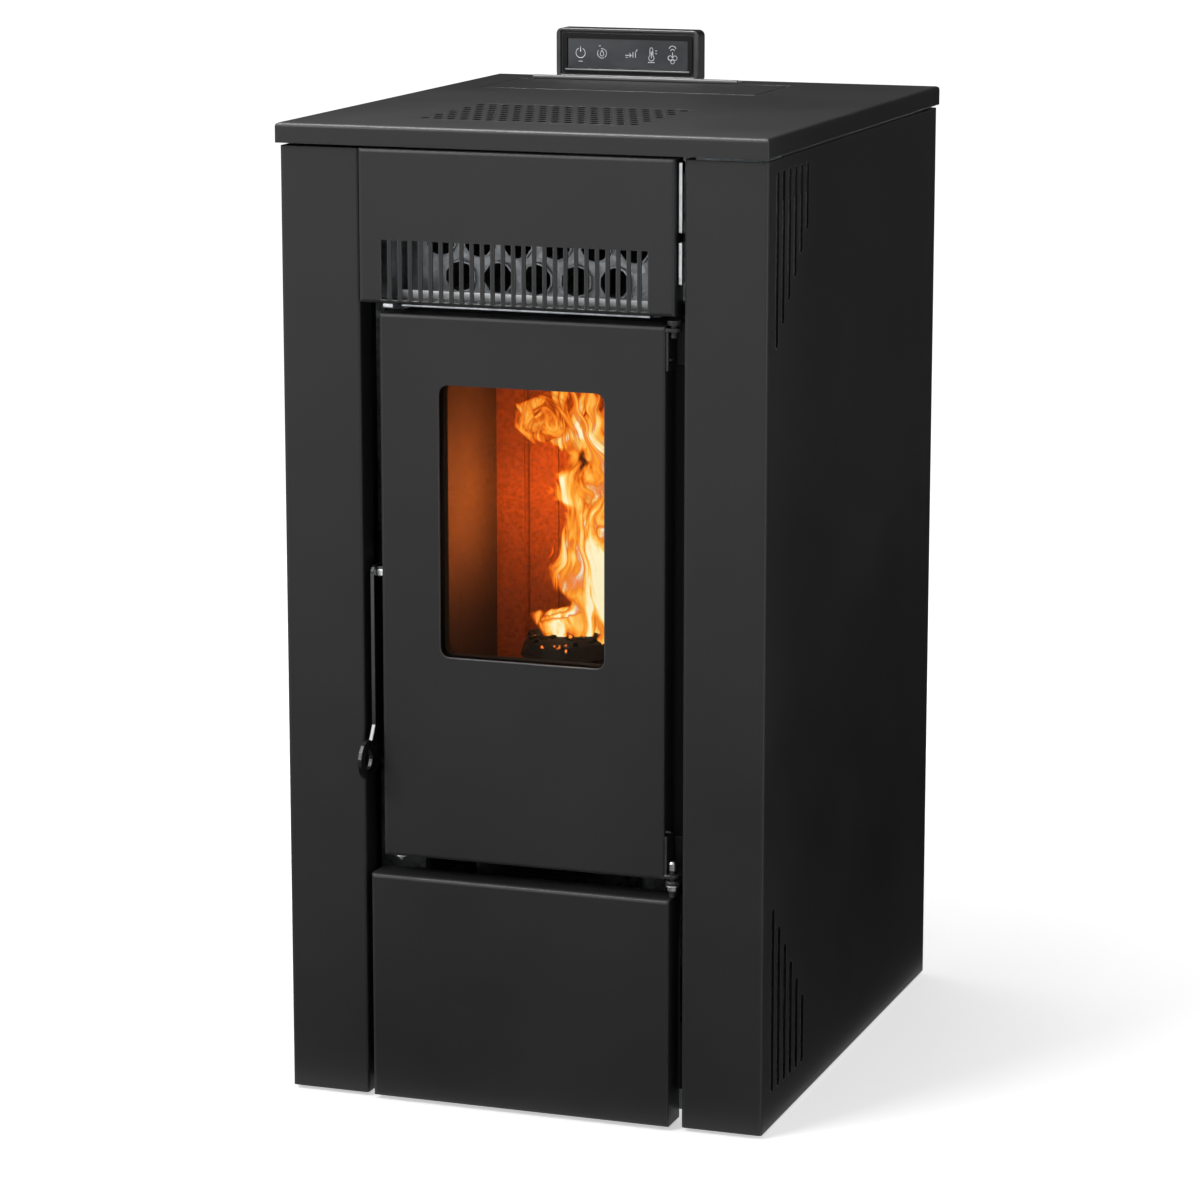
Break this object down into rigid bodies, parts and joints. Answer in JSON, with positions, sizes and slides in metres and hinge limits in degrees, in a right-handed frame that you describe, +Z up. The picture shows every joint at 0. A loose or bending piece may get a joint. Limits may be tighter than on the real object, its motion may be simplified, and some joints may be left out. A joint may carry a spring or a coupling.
{
  "type": "pellet stove",
  "caption": "Free-standing pellet stove with a windowed door, slotted warm-air fascia, perforated top, hopper lid, side lever and rear display.",
  "frame": {"origin": "on the floor under the middle of the overall box", "axes": "+Z up, -Y out of the front with the door, +X to the right side seen from the front"},
  "size_m": [0.488, 0.6686, 1.006],
  "materials": {
    "black_powder": "satin black powder coat",
    "black_enamel": "gloss black enamel",
    "galvanised": "galvanised sheet",
    "bright_steel": "bright zinc-plated steel",
    "heat_paint": "matt black stove paint",
    "cast_iron": "matt, sooted by the fire",
    "vermiculite": "rough pressed board",
    "ceramic_glass": "clear heat-proof glass",
    "rope": "woven glass-fibre rope and tape",
    "black_plastic": "fine-grained black plastic",
    "rocker_plastic": "gloss black plastic",
    "display_glass": "dark tinted touch glass",
    "circuit": "solder-masked circuit board"
  },
  "bodies": {
    "casing": {"side_panel_left": "black_powder", "side_panel_right": "black_powder", "top_cover": "black_powder", "top_grille": "black_powder", "upper_fascia": "black_powder", "base_tray": "galvanised", "rear_panel": "galvanised", "ash_drawer": "galvanised", "heat_exchanger": "galvanised", "air_plenum": "galvanised", "rear_air_duct": "galvanised", "room_fan_housing": "galvanised", "hopper": "galvanised", "hopper_guard": "galvanised", "auger_tube": "galvanised", "smoke_duct": "galvanised", "smoke_fan_housing": "galvanised", "air_inlet_pipe": "galvanised", "lid_hinge": "bright_steel", "hinge_bracket_top": "bright_steel", "hinge_bracket_bottom": "bright_steel", "latch_catch": "bright_steel", "flue_outlet": "bright_steel", "igniter": "bright_steel", "firebox_body": "heat_paint", "firebox_stand": "heat_paint", "fire_bed_plate": "cast_iron", "liner_back": "vermiculite", "liner_left": "vermiculite", "liner_right": "vermiculite", "baffle_plate": "vermiculite", "foot_front_left": "black_plastic", "foot_front_right": "black_plastic", "foot_rear_left": "black_plastic", "foot_rear_right": "black_plastic", "auger_gearmotor": "black_plastic", "smoke_fan_motor": "black_plastic", "room_fan_motor": "black_plastic", "mains_inlet": "black_plastic", "display_housing": "black_plastic", "display_screen": "display_glass", "control_board": "circuit"},
    "door": {"door_panel": "black_powder", "door_frame": "cast_iron", "door_glass": "ceramic_glass", "glass_gasket": "rope", "door_gasket": "rope", "door_lug_top": "black_powder", "door_lug_bottom": "black_powder", "lever_pivot_bolt": "bright_steel"},
    "lever": {"door_lever": "black_enamel"},
    "lid": {"hopper_lid": "black_powder"},
    "lower_panel": {"lower_front_panel": "black_powder"},
    "pot": {"burn_pot": "cast_iron"},
    "auger": {"auger_screw": "bright_steel"},
    "smoke_impeller": {"smoke_fan_impeller": "galvanised"},
    "room_impeller": {"room_fan_impeller": "galvanised"},
    "rocker": {"rocker_switch": "rocker_plastic"}
  },
  "joints": [
    {"name": "door_hinge", "type": "hinge", "parent": "casing", "child": "door", "pos_m": [0.15, -0.2945, 0.512], "axis": [0, 0, 1], "range_deg": [0, 110]},
    {"name": "lever_pivot", "type": "hinge", "parent": "door", "child": "lever", "pos_m": [-0.15325, -0.2855, 0.524], "axis": [-1, 0, 0], "range_deg": [0, 35]},
    {"name": "lid_hinge_turn", "type": "hinge", "parent": "casing", "child": "lid", "pos_m": [-0.052, 0.2428, 0.9562], "axis": [-1, 0, 0], "range_deg": [0, 95]},
    {"name": "lower_panel_pull", "type": "slide", "parent": "casing", "child": "lower_panel", "axis": [0, -1, 0], "range_m": [0, 0.12]},
    {"name": "pot_lift", "type": "slide", "parent": "casing", "child": "pot", "axis": [0, 0, 1], "range_m": [0, 0.04]},
    {"name": "auger_turn", "type": "hinge", "parent": "casing", "child": "auger", "pos_m": [0, -0.0605, 0.585], "axis": [0, 0.7071, -0.7071], "continuous": true},
    {"name": "smoke_fan_turn", "type": "hinge", "parent": "casing", "child": "smoke_impeller", "pos_m": [-0.164, -0.0765, 0.132], "axis": [0, 1, 0], "continuous": true},
    {"name": "room_fan_turn", "type": "hinge", "parent": "casing", "child": "room_impeller", "pos_m": [0, -0.0142, 0.252], "axis": [1, 0, 0], "continuous": true},
    {"name": "rocker_tilt", "type": "hinge", "parent": "casing", "child": "rocker", "pos_m": [0.1575, 0.2872, 0.092], "axis": [0, 0, -1], "range_deg": [0, 12]}
  ]
}
